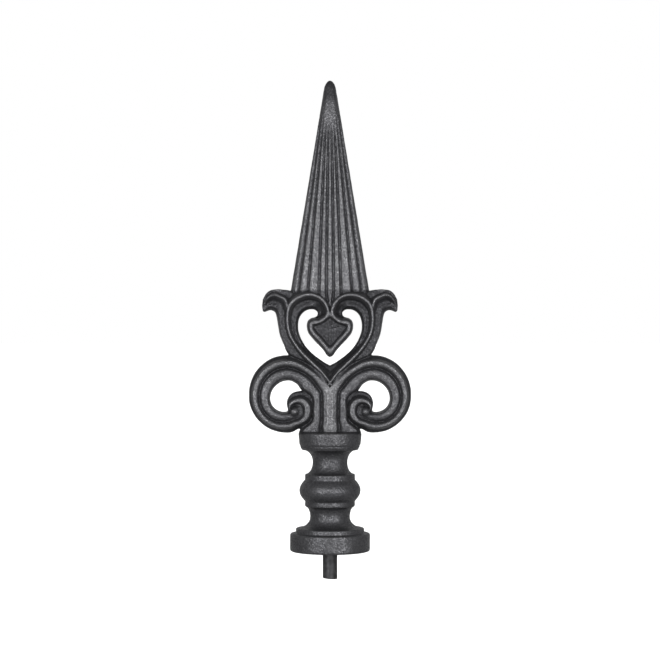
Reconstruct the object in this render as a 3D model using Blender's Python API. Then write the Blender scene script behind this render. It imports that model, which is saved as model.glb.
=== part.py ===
"""Cast iron fence finial: a reeded spear over a pierced heart, a pair of scrolls and a turned
baluster, with a sheared steel pin cast into its base. Metres, +Z up, origin at the middle of
the seat, which is the flat underside of the base disc. The front faces -Y."""
import math

import bmesh
import bpy
import numpy as np
from mathutils import Matrix

MM = 0.001

# Fixing pin
PIN_RADIUS = 4.9 * MM
PIN_EXPOSED = 18.7 * MM
PIN_EMBEDDED = 25.0 * MM
PIN_CLEARANCE = 0.3 * MM
BORE_OVERRUN = 5.0 * MM
PIN_SIDES = 32
SHEAR_SLOPE = 0.08

# Turned baluster, from the seat up
DISC_RADIUS = 26.6 * MM
DISC_HEIGHT = 12.1 * MM
DISC_ROUNDING = 1.4 * MM
STEP_RADIUS = 22.7 * MM
STEP_HEIGHT = 3.4 * MM
LOWER_NECK_RADIUS = 13.2 * MM
LOWER_NECK_HEIGHT = 14.2 * MM
LOWER_NECK_FLARE = 3.0 * MM
FOOT_FLARE = 8.6 * MM
FILLET_RADIUS = 16.6 * MM
FILLET_HEIGHT = 3.8 * MM
BALL_RADIUS = 20.3 * MM
BALL_HEIGHT = 14.0 * MM
UPPER_NECK_RADIUS = 11.5 * MM
UPPER_NECK_HEIGHT = 16.2 * MM
UPPER_NECK_FLARE = 5.0 * MM
COLLAR_FLARE = 6.5 * MM
COLLAR_RADIUS = 21.0 * MM
COLLAR_HEIGHT = 11.8 * MM
COLLAR_TAPER = 0.6 * MM
COLLAR_FOOT_RADIUS = 19.8 * MM
COLLAR_FOOT_HEIGHT = 2.9 * MM
COLLAR_FOOT_TAPER = 0.8 * MM
COLLAR_ROUNDING = 1.2 * MM
TURNED_SIDES = 32

# Pierced ornament between the baluster and the spear
ORNAMENT_HEIGHT = 94.3 * MM
EDGE_DEPTH = 3.4 * MM
MARGIN_DEPTH = 5.4 * MM
BEAD_DEPTH = 8.8 * MM
TRUNK_CROWN = 0.7 * MM
GROOVE_DEPTH = 4.9 * MM
ROLL_DEPTH = 8.2 * MM
LIP_DEPTH = 5.5 * MM
EAR_DEPTH = 5.8 * MM
SPADE_PANEL_DEPTH = 6.2 * MM
SPADE_APEX_DEPTH = 7.4 * MM

# Spear
SPEAR_HEIGHT = 140.0 * MM
SPEAR_ROOT_HALF_WIDTH = 26.0 * MM
SPEAR_TIP_HALF_WIDTH = 3.0 * MM
SPEAR_ROOT_DEPTH = 7.6 * MM
SPEAR_TIP_DEPTH = 5.0 * MM
SPEAR_NOSE = 5.5 * MM
REED_RELIEF = 1.3 * MM

SEAM = 4.0 * MM
STATION_TURN = 28.0

# Shares of the ornament's height, in hundredths, from the scroll's lowest point.
# A row is one station across a band: its outer edge x, z and its inner edge x, z.
# In a scroll row follow the places of the bead, the groove and the roll across the band, and
# how far the margin rises: 1 is flush with the bead.
TRUNK = (
    (-2.0, -2.4, 22.0, -2.4, 0.28, 0.37, 0.74, 1.0),
    (-2.0, 1.6, 20.9, 2.0, 0.30, 0.39, 0.72, 1.0),
    (-2.0, 7.8, 13.6, 7.8, 0.40, 0.55, 0.79, 1.0),
    (-2.0, 16.3, 12.6, 16.3, 0.42, 0.56, 0.82, 1.0),
    (-2.0, 23.4, 12.4, 23.4, 0.44, 0.59, 0.83, 1.0),
    (-1.8, 29.0, 15.8, 27.4, 0.32, 0.47, 0.72, 1.0),
    (1.6, 34.0, 19.8, 29.6, 0.22, 0.42, 0.69, 0.9),
    (5.3, 40.3, 21.3, 31.3, 0.25, 0.44, 0.71, 0.6),
    (12.0, 46.5, 23.0, 33.7, 0.28, 0.46, 0.72, 0.3),
)
SCROLL_CENTRE = (30.95, 26.1)
SCROLL_RADIUS = 26.4
SCROLL_RISE = 1.7
HOLE_CENTRE = (31.1, 25.3)
HOLE_RADIUS = 11.1
HOLE_SKEW = 0.65
SCROLL_SHARES = (0.29, 0.47, 0.74, 0.0)
EYE = (
    (22.6, 2.2, 28.4, 13.9, 0.36, 0.56, 0.80, -0.1),
    (17.0, 4.0, 27.0, 13.9, 0.38, 0.57, 0.80, -0.3),
    (12.3, 8.6, 25.6, 14.4, 0.39, 0.58, 0.82, -0.5),
    (10.3, 14.8, 24.7, 15.5, 0.42, 0.62, 0.85, -0.5),
    (10.8, 21.2, 24.8, 16.7, 0.46, 0.66, 0.87, -0.5),
    (13.9, 26.3, 25.3, 17.5, 0.53, 0.73, 0.90, -0.5),
    (18.4, 28.8, 26.0, 17.9, 0.63, 0.80, 0.92, -0.4),
    (23.4, 28.7, 26.7, 17.9, 0.74, 0.86, 0.94, -0.3),
    (27.4, 27.0, 27.3, 17.6, 0.80, 0.89, 0.95, -0.3),
    (29.9, 23.4, 27.7, 17.1, 0.82, 0.90, 0.96, -0.3),
    (30.4, 19.6, 27.9, 16.5, 0.82, 0.90, 0.96, -0.3),
    (29.9, 16.6, 28.0, 15.9, 0.82, 0.90, 0.96, -0.3),
)
EYE_BULB = (26.4, 15.2, 4.3)
HEART = (
    (-2.8, 29.7, -2.8, 44.9),
    (0.4, 35.2, 0.4, 47.2),
    (4.9, 41.4, 3.9, 49.1),
    (10.2, 46.7, 7.8, 51.8),
    (15.5, 51.7, 11.6, 54.7),
    (20.5, 56.8, 15.3, 58.3),
    (24.7, 62.4, 18.4, 62.2),
    (28.1, 68.6, 20.9, 66.9),
    (29.8, 75.3, 22.4, 71.8),
    (30.1, 82.7, 22.5, 77.1),
    (28.6, 89.4, 21.4, 81.3),
    (25.1, 93.5, 19.1, 84.5),
    (19.4, 96.4, 15.9, 86.4),
    (13.4, 97.2, 12.7, 86.8),
    (7.4, 95.2, 10.5, 86.3),
    (3.3, 91.2, 9.0, 85.1),
    (1.4, 86.3, 8.6, 83.7),
    (2.1, 82.4, 9.2, 82.0),
    (4.9, 79.0, 11.0, 81.0),
    (8.5, 77.3, 13.1, 80.5),
    (12.4, 76.5, 15.2, 79.0),
)
HEART_MARGIN = 3.2
LIP_STARTS = 58.0
LIP_FULL = 70.0
# In an ear row follow the ridge's place across, its rise and how far the inner edge thins.
EAR = (
    (-2.4, 26.2, -2.4, 32.0, 0.90, 0.0, 0.0),
    (3.2, 36.1, 3.5, 38.9, 0.90, 0.0, 0.0),
    (9.5, 44.0, 8.8, 45.8, 0.90, 0.0, 0.0),
    (14.8, 47.7, 14.1, 50.7, 0.90, 0.0, 0.0),
    (21.2, 50.9, 19.4, 55.7, 0.90, 0.0, 0.0),
    (27.6, 53.4, 23.7, 60.8, 0.90, 0.0, 0.0),
    (30.8, 57.3, 26.5, 65.8, 0.90, 0.0, 0.0),
    (32.5, 61.5, 28.3, 70.0, 0.90, 0.0, 0.0),
    (35.5, 69.3, 29.0, 75.7, 0.90, 0.0, 0.0),
    (37.0, 77.8, 27.5, 83.0, 0.86, 0.3, 0.0),
    (37.7, 81.9, 26.0, 90.1, 0.66, 1.0, 1.0),
    (38.6, 84.4, 26.5, 98.8, 0.60, 1.0, 1.0),
    (39.9, 85.5, 34.1, 100.7, 0.68, 1.0, 1.0),
    (41.4, 86.1, 38.3, 100.7, 0.74, 1.0, 1.0),
    (42.8, 86.1, 42.3, 99.9, 0.70, 1.0, 1.0),
    (43.8, 85.8, 45.4, 97.3, 0.64, 0.7, 1.0),
    (44.8, 85.4, 47.3, 93.7, 0.60, 0.2, 1.0),
    (45.8, 85.0, 47.8, 89.4, 0.60, 0.0, 1.0),
    (46.3, 84.8, 47.4, 85.6, 0.60, 0.0, 1.0),
)
SPADE = (
    (-0.5, 87.0), (4.2, 83.4), (8.6, 80.6), (12.0, 80.6), (15.2, 78.9), (16.3, 75.3),
    (15.5, 70.7), (13.1, 67.2), (8.8, 62.5), (4.6, 57.8), (2.0, 54.0), (-0.5, 53.0),
)
SPADE_PANEL = (
    (-0.5, 80.6), (2.4, 78.4), (5.6, 76.2), (8.0, 75.4), (10.4, 74.8), (10.8, 74.2),
    (10.4, 73.0), (9.0, 71.2), (5.6, 67.6), (2.8, 64.2), (1.0, 62.2), (-0.5, 61.4),
)
SPADE_APEX = (0.0, 72.1)

REEDS_AT_ROOT = (0.093, 0.283, 0.566, 0.81)
REEDS_AT_TIP = (0.14, 0.385, 0.64, 0.82)
SPEAR_TAIL = ((1.0, -0.016), (0.74, -0.045), (0.55, -0.072))
BLADE_FULLNESS = 0.42


def remove_all():
    for obj in list(bpy.data.objects):
        bpy.data.objects.remove(obj, do_unlink=True)


def material(name, colour, roughness, metallic):
    mat = bpy.data.materials.new(name)
    mat.use_nodes = True
    shader = mat.node_tree.nodes["Principled BSDF"]
    shader.inputs["Base Color"].default_value = (*colour, 1.0)
    shader.inputs["Roughness"].default_value = roughness
    shader.inputs["Metallic"].default_value = metallic
    return mat


def new_object(name, vertices, faces, mat):
    mesh = bpy.data.meshes.new(name)
    mesh.from_pydata([tuple(v) for v in vertices], [], faces)
    mesh.materials.append(mat)
    obj = bpy.data.objects.new(name, mesh)
    bpy.context.collection.objects.link(obj)
    make_outward(mesh)
    return obj


def make_outward(mesh):
    bm = bmesh.new()
    bm.from_mesh(mesh)
    bmesh.ops.recalc_face_normals(bm, faces=bm.faces)
    bm.to_mesh(mesh)
    bm.free()


def bend(a, b, c, d):
    """How far a rail turns, in degrees, between the middle two of four points in a row."""
    before = math.atan2(*(c - a))
    after = math.atan2(*(d - b))
    return abs(math.degrees(math.remainder(after - before, 2 * math.pi)))


def curve(rows):
    """A smooth curve through rows of numbers, with a station more wherever a rail turns far."""
    rows = np.array(rows, dtype=float)
    padded = np.vstack((2 * rows[0] - rows[1], rows, 2 * rows[-1] - rows[-2]))
    points = []
    for a, b, c, d in zip(padded, padded[1:], padded[2:], padded[3:]):
        turn = bend(a[0:2], b[0:2], c[0:2], d[0:2])
        spans = 1 + int(turn / STATION_TURN)
        for t in np.arange(spans) / spans:
            linear = (c - a) * t
            square = (2 * a - 5 * b + 4 * c - d) * t ** 2
            cubic = (3 * b - a - 3 * c + d) * t ** 3
            points.append(0.5 * (2 * b + linear + square + cubic))
    points.append(rows[-1])
    return np.array(points)


def ornament_point(x, z, depth):
    """A place on the ornament's front from its shares across and up, and its depth."""
    unit = ORNAMENT_HEIGHT / 100
    return (x * unit, -depth, collar_top() + z * unit)


def band(name, stations, section, mat):
    """A closed band lofted along its stations; section gives (share, depth) across each."""
    vertices = []
    for row in stations:
        outer = np.array(row[0:2])
        inner = np.array(row[2:4])
        across = section(row)
        first, last = across[0], across[-1]
        loop = [(first[0], -SEAM), *across, (last[0], -SEAM)]
        for share, depth in loop:
            x, z = outer + (inner - outer) * share
            vertices.append(ornament_point(x, z, depth))
    width = len(loop)
    faces = [tuple(range(width)), tuple(range(len(vertices) - width, len(vertices)))]
    for start in range(0, len(vertices) - width, width):
        for k in range(width):
            a, b = start + k, start + (k + 1) % width
            faces.append((a, b, b + width, a + width))
    return new_object(name, vertices, faces, mat)


def scroll_stations():
    turn = []
    for degrees in range(112, -100, -15):
        angle = math.radians(degrees)
        rise = SCROLL_RISE * max(0.0, math.sin(angle)) ** 2
        reach = SCROLL_RADIUS + rise
        hole = HOLE_RADIUS - HOLE_SKEW * math.sin(2 * angle)
        late = max(0.0, (-60 - degrees) / 50)
        shares = [a + (b - a) * late for a, b in zip(SCROLL_SHARES, EYE[0][4:8])]
        turn.append((
            SCROLL_CENTRE[0] + reach * math.cos(angle),
            SCROLL_CENTRE[1] + reach * math.sin(angle),
            HOLE_CENTRE[0] + hole * math.cos(angle),
            HOLE_CENTRE[1] + hole * math.sin(angle),
            *shares,
        ))
    return (*TRUNK, *turn, *EYE)


def scroll_section(row):
    """Margin, bead, groove and roll across the scroll."""
    bead, groove, roll, rise = row[4:8]
    flush = max(0.0, rise)
    margin = MARGIN_DEPTH + (BEAD_DEPTH - MARGIN_DEPTH) * rise + TRUNK_CROWN * flush
    crest = ROLL_DEPTH - 1.2 * MM * max(0.0, -rise)
    return (
        (0.0, EDGE_DEPTH + (margin - EDGE_DEPTH) * flush),
        (bead * 0.55, margin),
        (bead, BEAD_DEPTH),
        (groove, GROOVE_DEPTH),
        (roll, crest),
        (roll + (1 - roll) * 0.65, crest - 1.6 * MM),
        (1.0, EDGE_DEPTH),
    )


def heart_section(row):
    """Outer slope, bead, channel and, round the lobe, a lip along the pierced edge."""
    span = math.hypot(row[2] - row[0], row[3] - row[1])
    margin = HEART_MARGIN / span
    crest = BEAD_DEPTH + 0.5 * MM * min(1.0, row[0] / 3)
    lip = min(1.0, max(0.0, (row[1] - LIP_STARTS) / (LIP_FULL - LIP_STARTS)))
    lip *= min(1.0, max(0.0, (row[0] - 4) / 12))
    return (
        (-margin, MARGIN_DEPTH - 0.6 * MM),
        (-0.1 * margin, crest),
        (0.12, crest - 0.8 * MM),
        (0.36, MARGIN_DEPTH + 0.2 * MM - 1.5 * MM * lip),
        (0.72, EDGE_DEPTH + (LIP_DEPTH - EDGE_DEPTH) * lip),
        (1.0, EDGE_DEPTH),
    )


def ear_section(row):
    """Flat along the stalk; in the curl a ridge follows its upper edge over a shallow scoop."""
    place, rise, thin_edge = row[4:7]
    beyond = EAR_DEPTH - 0.9 * MM * thin_edge
    return (
        (0.0, EDGE_DEPTH),
        (0.18, EAR_DEPTH),
        (0.55 * place, EAR_DEPTH - 1.2 * MM * rise),
        (place, EAR_DEPTH + 2.8 * MM * rise),
        (place + 0.07, beyond),
        (1.0, beyond - (beyond - EDGE_DEPTH) * thin_edge),
    )


def spade(mat):
    """The hanging spade: its outline, raised rim, sunken panel and four-sided point."""
    rings = [
        (0.0, -SEAM), (0.0, EDGE_DEPTH), (0.28, BEAD_DEPTH - 0.6 * MM),
        (0.66, BEAD_DEPTH - 0.2 * MM), (1.0, SPADE_PANEL_DEPTH),
    ]
    start = np.array(SPADE)
    panel = np.array(SPADE_PANEL)
    vertices = []
    for share, depth in rings:
        outline = start + (panel - start) * share
        vertices.extend(ornament_point(x, z, depth) for x, z in outline)
    count = len(SPADE)
    vertices.append(ornament_point(*SPADE_APEX, SPADE_APEX_DEPTH))
    apex = len(vertices) - 1
    faces = [tuple(range(count))]
    for start in range(0, count * (len(rings) - 1), count):
        for k in range(count):
            a, b = start + k, start + (k + 1) % count
            faces.append((a, b, b + count, a + count))
    start = count * (len(rings) - 1)
    for k in range(count):
        faces.append((start + k, start + (k + 1) % count, apex))
    return new_object("spade", vertices, faces, mat)


def spear_place(height):
    """Half width, half depth and how far the reeds stand out, at a share of the height."""
    half = SPEAR_ROOT_HALF_WIDTH + (SPEAR_TIP_HALF_WIDTH - SPEAR_ROOT_HALF_WIDTH) * height
    depth = SPEAR_ROOT_DEPTH + (SPEAR_TIP_DEPTH - SPEAR_ROOT_DEPTH) * height
    nose = max(0.0, 1 - (1 - height) * SPEAR_HEIGHT / SPEAR_NOSE)
    rounding = math.sqrt(max(0.0, 1 - nose ** 2))
    relief = REED_RELIEF * min(1.0, max(0.0, (0.86 - height) / 0.12))
    return half * rounding, min(depth, half) * rounding, relief


def spear_section(height, half, depth, relief):
    """Points over the front of the blade from the middle to its edge."""
    marks = [0.0]
    for root, tip in zip(REEDS_AT_ROOT, REEDS_AT_TIP):
        marks.append(root + (tip - root) * height)
    marks.append(1.0)
    section = []
    for k, (low, high) in enumerate(zip(marks, marks[1:])):
        for step in (0.0, 0.5):
            share = low + (high - low) * step
            swell = (1 - share ** 2) ** BLADE_FULLNESS
            sunk = relief if step == 0.0 and k > 0 else 0.0
            section.append((share * half, depth * swell - sunk))
    section.append((half, 0.3 * depth))
    return section


def spear(mat):
    base = collar_top() + ORNAMENT_HEIGHT
    levels = []
    for share, drop in reversed(SPEAR_TAIL):
        half, depth, relief = spear_place(0.0)
        levels.append((0.0, half * share, depth, relief, base + drop * SPEAR_HEIGHT))
    for height in (0.0, 0.74, 0.86, 0.953, 0.978, 0.993):
        levels.append((height, *spear_place(height), base + height * SPEAR_HEIGHT))
    vertices = []
    for height, half, depth, relief, z in levels:
        front = spear_section(height, half, depth, relief)
        loop = [(-SEAM, -SEAM), (-SEAM, front[0][1]), *front, (front[-1][0], -SEAM)]
        vertices.extend((x, -y, z) for x, y in loop)
    width = len(loop)
    vertices.append((0.0, 0.0, base + SPEAR_HEIGHT))
    faces = [tuple(range(width))]
    for start in range(0, width * (len(levels) - 1), width):
        for k in range(width):
            a, b = start + k, start + (k + 1) % width
            faces.append((a, b, b + width, a + width))
    start = width * (len(levels) - 1)
    for k in range(width):
        faces.append((start + k, start + (k + 1) % width, len(vertices) - 1))
    return new_object("spear", vertices, faces, mat)


def bulb(mat):
    """The rounded end of the roll in the scroll's eye."""
    x, z, radius = EYE_BULB
    unit = ORNAMENT_HEIGHT / 100
    mesh = bpy.data.meshes.new("bulb")
    bm = bmesh.new()
    size = (radius * unit, ROLL_DEPTH - 0.3 * MM, radius * unit)
    place = Matrix.Translation(ornament_point(x, z, 0.0)) @ Matrix.Diagonal((*size, 1.0))
    bmesh.ops.create_icosphere(bm, subdivisions=1, radius=1.0, matrix=place)
    bm.to_mesh(mesh)
    bm.free()
    mesh.materials.append(mat)
    obj = bpy.data.objects.new("bulb", mesh)
    bpy.context.collection.objects.link(obj)
    return obj


def collar_top():
    return (DISC_HEIGHT + STEP_HEIGHT + LOWER_NECK_HEIGHT + 2 * FILLET_HEIGHT + BALL_HEIGHT
            + UPPER_NECK_HEIGHT + COLLAR_HEIGHT)


def rounded(radius, top, bottom, rounding, steps=2):
    """A turned edge, rounded where it meets the face above and the face below."""
    points = []
    for k in range(steps + 1):
        angle = math.radians(90 - 90 * k / steps)
        points.append((radius - rounding + rounding * math.cos(angle),
                       top - rounding + rounding * math.sin(angle)))
    for k in range(steps + 1):
        angle = math.radians(-90 * k / steps)
        points.append((radius - rounding + rounding * math.cos(angle),
                       bottom + rounding + rounding * math.sin(angle)))
    return points


def tapered(radius, taper, top, bottom, rounding, steps=2):
    """A turned edge like rounded, drawn in towards its foot."""
    points = rounded(radius, top, bottom, rounding, steps)
    half = len(points) // 2
    return points[:half] + [(r - taper, z) for r, z in points[half:]]


def scotia(throat, above, below, flare_above, flare_below, steps=3):
    """A hollow neck: two quarter curves that meet at its throat."""
    height = above - below
    middle = below + height * 0.5
    points = []
    for k in range(steps + 1):
        angle = math.radians(90 - 90 * k / steps)
        points.append((throat + flare_above * (1 - math.cos(angle)),
                       middle + (above - middle) * math.sin(angle)))
    for k in range(1, steps + 1):
        angle = math.radians(90 * k / steps)
        points.append((throat + flare_below * (1 - math.cos(angle)),
                       middle - (middle - below) * math.sin(angle)))
    return points


def baluster_profile():
    """Radius and height down the outer side, from the middle of the top to the seat."""
    top = collar_top()
    collar_foot = top - COLLAR_HEIGHT
    fillet_top = collar_foot - UPPER_NECK_HEIGHT
    ball_top = fillet_top - FILLET_HEIGHT
    ball_foot = ball_top - BALL_HEIGHT
    fillet_foot = ball_foot - FILLET_HEIGHT
    step_top = DISC_HEIGHT + STEP_HEIGHT
    rounding = 0.8 * MM
    band_foot = collar_foot + COLLAR_FOOT_HEIGHT
    profile = [(0.0, top)]
    profile += tapered(COLLAR_RADIUS, COLLAR_TAPER, top, band_foot, COLLAR_ROUNDING)
    profile += tapered(COLLAR_FOOT_RADIUS, COLLAR_FOOT_TAPER, band_foot, collar_foot,
                       rounding, 1)
    profile += scotia(UPPER_NECK_RADIUS, collar_foot, fillet_top, COLLAR_FLARE,
                      UPPER_NECK_FLARE)
    profile += rounded(FILLET_RADIUS, fillet_top, ball_top, rounding, 1)
    for k in range(1, 6):
        angle = math.radians(90 - 30 * k)
        profile.append((FILLET_RADIUS + (BALL_RADIUS - FILLET_RADIUS) * math.cos(angle) ** 2,
                        (ball_top + ball_foot) / 2 + BALL_HEIGHT / 2 * math.sin(angle)))
    profile += rounded(FILLET_RADIUS, ball_foot, fillet_foot, rounding, 1)
    profile += scotia(LOWER_NECK_RADIUS, fillet_foot, step_top, LOWER_NECK_FLARE, FOOT_FLARE)
    profile += rounded(STEP_RADIUS, step_top, DISC_HEIGHT, rounding, 1)
    profile += rounded(DISC_RADIUS, DISC_HEIGHT, 0.0, DISC_ROUNDING)
    profile.append((0.0, 0.0))
    return profile


def turned(name, profile, sides, mat):
    """A closed solid of revolution about Z from a profile that runs from pole to pole."""
    ring = profile[1:-1]
    vertices = [(0.0, 0.0, profile[0][1])]
    for r, z in ring:
        for k in range(sides):
            angle = 2 * math.pi * k / sides
            vertices.append((r * math.cos(angle), r * math.sin(angle), z))
    vertices.append((0.0, 0.0, profile[-1][1]))
    faces = []
    for k in range(sides):
        after = (k + 1) % sides
        faces.append((0, 1 + k, 1 + after))
        for j in range(len(ring) - 1):
            a = 1 + j * sides
            b = a + sides
            faces.append((a + k, b + k, b + after, a + after))
        last = 1 + (len(ring) - 1) * sides
        faces.append((last + k, len(vertices) - 1, last + after))
    return new_object(name, vertices, faces, mat)


def combine(target, other, operation):
    """Applies one exact Boolean to the target and removes the other object."""
    modifier = target.modifiers.new("combine", "BOOLEAN")
    modifier.object = other
    modifier.operation = operation
    modifier.solver = "EXACT"
    modifier.use_self = True
    depsgraph = bpy.context.evaluated_depsgraph_get()
    mesh = bpy.data.meshes.new_from_object(target.evaluated_get(depsgraph))
    target.modifiers.clear()
    target.data = mesh
    bpy.data.objects.remove(other, do_unlink=True)


def quarter_to_whole(obj):
    """Keeps the front right quarter, cleans its facets and mirrors it across both planes."""
    bm = bmesh.new()
    bm.from_mesh(obj.data)
    for normal in ((-1, 0, 0), (0, 1, 0)):
        everything = bm.verts[:] + bm.edges[:] + bm.faces[:]
        bmesh.ops.bisect_plane(bm, geom=everything, plane_co=(0, 0, 0), plane_no=normal,
                               clear_outer=True)
    bmesh.ops.remove_doubles(bm, verts=bm.verts, dist=0.00002)
    bm.to_mesh(obj.data)
    bm.free()
    for axis in (0, 1):
        modifier = obj.modifiers.new("mirror", "MIRROR")
        modifier.use_axis = (axis == 0, axis == 1, False)
        modifier.merge_threshold = 0.00001
    depsgraph = bpy.context.evaluated_depsgraph_get()
    mesh = bpy.data.meshes.new_from_object(obj.evaluated_get(depsgraph))
    obj.modifiers.clear()
    obj.data = mesh
    make_outward(mesh)


def casting(mat):
    ornament = spear(mat)
    combine(ornament, band("heart", curve(HEART), heart_section, mat), "UNION")
    combine(ornament, spade(mat), "UNION")
    combine(ornament, band("ear", curve(EAR), ear_section, mat), "UNION")
    combine(ornament, bulb(mat), "UNION")
    combine(ornament, band("scroll", curve(scroll_stations()), scroll_section, mat), "UNION")
    quarter_to_whole(ornament)
    whole = turned("finial_casting", baluster_profile(), TURNED_SIDES, mat)
    combine(whole, ornament, "UNION")
    combine(whole, pin_bore(mat), "DIFFERENCE")
    whole.data.set_sharp_from_angle(angle=math.radians(40))
    return whole


def pin_bore(mat):
    top = PIN_EMBEDDED + PIN_CLEARANCE
    radius = PIN_RADIUS + PIN_CLEARANCE
    profile = [(0.0, top), (radius, top), (radius, -BORE_OVERRUN), (0.0, -BORE_OVERRUN)]
    return turned("pin_bore", profile, PIN_SIDES, mat)


def fixing_pin(mat):
    """A round bar, sheared off at a slight slope below the seat."""
    profile = [(0.0, PIN_EMBEDDED), (PIN_RADIUS, PIN_EMBEDDED), (PIN_RADIUS, -PIN_EXPOSED),
               (0.0, -PIN_EXPOSED)]
    pin = turned("fixing_pin", profile, PIN_SIDES, mat)
    for vertex in pin.data.vertices:
        if vertex.co.z < 0:
            vertex.co.z += SHEAR_SLOPE * (PIN_RADIUS - vertex.co.x)
    return pin


def main():
    remove_all()
    cast_iron = material("cast_iron", (0.075, 0.075, 0.080), 0.45, 0.8)
    bar_steel = material("bar_steel", (0.070, 0.070, 0.074), 0.40, 0.9)
    casting(cast_iron)
    fixing_pin(bar_steel)


main()
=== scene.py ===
"""Looks of a sand cast iron fence finial with a sheared steel pin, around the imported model."""
import math

import bmesh
import bpy
import numpy as np
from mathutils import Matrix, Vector, noise


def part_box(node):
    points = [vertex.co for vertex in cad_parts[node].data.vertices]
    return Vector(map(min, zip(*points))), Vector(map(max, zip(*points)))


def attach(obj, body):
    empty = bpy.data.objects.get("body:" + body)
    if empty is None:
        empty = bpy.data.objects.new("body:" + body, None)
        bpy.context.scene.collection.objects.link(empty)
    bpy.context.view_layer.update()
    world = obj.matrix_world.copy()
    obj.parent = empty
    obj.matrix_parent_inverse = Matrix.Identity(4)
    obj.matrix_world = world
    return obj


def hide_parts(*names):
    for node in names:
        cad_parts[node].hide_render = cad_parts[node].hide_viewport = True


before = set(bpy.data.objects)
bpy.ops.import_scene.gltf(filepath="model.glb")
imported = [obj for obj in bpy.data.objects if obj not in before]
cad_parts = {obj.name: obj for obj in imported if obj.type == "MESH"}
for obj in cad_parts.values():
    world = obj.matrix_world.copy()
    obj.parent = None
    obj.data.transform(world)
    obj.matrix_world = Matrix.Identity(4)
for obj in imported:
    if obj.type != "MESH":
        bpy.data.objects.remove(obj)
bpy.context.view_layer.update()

MM = 0.001
CASTING_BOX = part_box("finial_casting")
PIN_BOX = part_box("fixing_pin")

# Sizes shared with the solids
PIN_RADIUS = (PIN_BOX[1][0] - PIN_BOX[0][0]) / 2
PIN_EXPOSED = -PIN_BOX[0][2]
PIN_TOP = PIN_BOX[1][2]
PIN_CLEARANCE = 0.3 * MM
PIN_RIM = 0.5 * MM
SHEAR_SLOPE = 0.08
DISC_RADIUS = (CASTING_BOX[1][1] - CASTING_BOX[0][1]) / 2
DISC_HEIGHT = 12.1 * MM
DISC_ROUNDING = 1.4 * MM
STEP_RADIUS = 22.7 * MM
STEP_HEIGHT = 3.4 * MM
LOWER_NECK_RADIUS = 13.2 * MM
LOWER_NECK_HEIGHT = 14.2 * MM
LOWER_NECK_FLARE = 3.0 * MM
FOOT_FLARE = 8.6 * MM
FILLET_RADIUS = 16.6 * MM
FILLET_HEIGHT = 3.8 * MM
BALL_RADIUS = 20.3 * MM
BALL_HEIGHT = 14.0 * MM
UPPER_NECK_RADIUS = 11.5 * MM
UPPER_NECK_HEIGHT = 16.2 * MM
UPPER_NECK_FLARE = 5.0 * MM
COLLAR_FLARE = 6.5 * MM
COLLAR_RADIUS = 21.0 * MM
COLLAR_HEIGHT = 11.8 * MM
COLLAR_TAPER = 0.6 * MM
COLLAR_FOOT_RADIUS = 19.8 * MM
COLLAR_FOOT_HEIGHT = 2.9 * MM
COLLAR_FOOT_TAPER = 0.8 * MM
COLLAR_ROUNDING = 1.2 * MM
SPEAR_HEIGHT = 140.0 * MM
ORNAMENT_HEIGHT = 94.3 * MM
SPEAR_ROOT_HALF_WIDTH = 26.0 * MM
SPEAR_TIP_HALF_WIDTH = 3.0 * MM
SPEAR_ROOT_DEPTH = 7.6 * MM
SPEAR_TIP_DEPTH = 5.0 * MM
SPEAR_NOSE = 5.5 * MM
REED_RELIEF = 1.9 * MM
REED_GROOVE = 0.75 * MM
EDGE_DEPTH = 3.4 * MM
MARGIN_DEPTH = 5.4 * MM
BEAD_DEPTH = 8.8 * MM
TRUNK_CROWN = 0.7 * MM
GROOVE_DEPTH = 4.9 * MM
ROLL_DEPTH = 8.2 * MM
EAR_DEPTH = 5.8 * MM
SPADE_PANEL_DEPTH = 6.2 * MM
SPADE_APEX_DEPTH = 7.4 * MM
SPADE_EDGE_STEP = 1.0 * MM
SPADE_RIM_STEPS = (1.8 * MM, 0.6 * MM, 0.5 * MM)
SPADE_PANEL_STEP = 0.3 * MM
EDGE_ROUNDING = 0.8 * MM

# Small steps in the sections of the bands, all measured in depth
INNER_EDGE_DROP = 0.6 * MM
SCROLL_EDGE_DROP = 0.8 * MM
SCROLL_MARGIN_DIP = 1.2 * MM
SCROLL_BEAD_FOOT = 0.25 * MM
SCROLL_BEAD_FALL = 0.30 * MM
SCROLL_GROOVE_LIFT = 0.7 * MM
ROLL_SHOULDER = 0.40 * MM
ROLL_FALL = 0.55 * MM
EYE_ROLL_SINK = 8.0 * MM
HEART_BEAD_LIFT = 0.2 * MM
HEART_SLOPE_DROP = 0.4 * MM
HEART_CHANNEL_DROP = 0.6 * MM
HEART_CHANNEL_SINK = 0.5 * MM
HEART_INNER_DROP = 0.2 * MM
HEART_EDGE_DROP = 1.2 * MM
LIP_HEIGHT = 2.0 * MM
EAR_RIDGE_HEIGHT = 2.5 * MM
EAR_EDGE_SINK = 1.5 * MM
EAR_HOLLOW = 0.6 * MM

# Fineness of the meshes
VOXEL = 0.42 * MM
TRIANGLES = 195000
STATION_TURN = 5.0
STATION_LENGTH = 1.2
SECTION_POINTS = 40
SPADE_SPANS = 4
SPEAR_POINTS = 181
TURNED_SIDES = 144
BALL_STEPS = 24
ROUNDING_STEPS = 6
SCOTIA_STEPS = 14
BULB_LOOPS = 16
BULB_SIDES = 32
PIN_SIDES = 96
PIN_LOOPS = 70
PIN_RIM_LOOPS = 6
PIN_FACE_LOOPS = 16
PIN_FACE_STARTS = 0.86
PIN_FACE_ENDS = 0.04
WELD_DISTANCE = 1e-7
SOFTEN_FACTOR = 0.5
SOFTEN_TIMES = 3

# Unevenness of the casting in mm: how far the skin stands out, then the frequency and
# the height of its waves, lumps and grain
SKIN_GROWTH = 0.06
UNEVENNESS = ((140, 0.10), (520, 0.07), (1300, 0.045))

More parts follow.
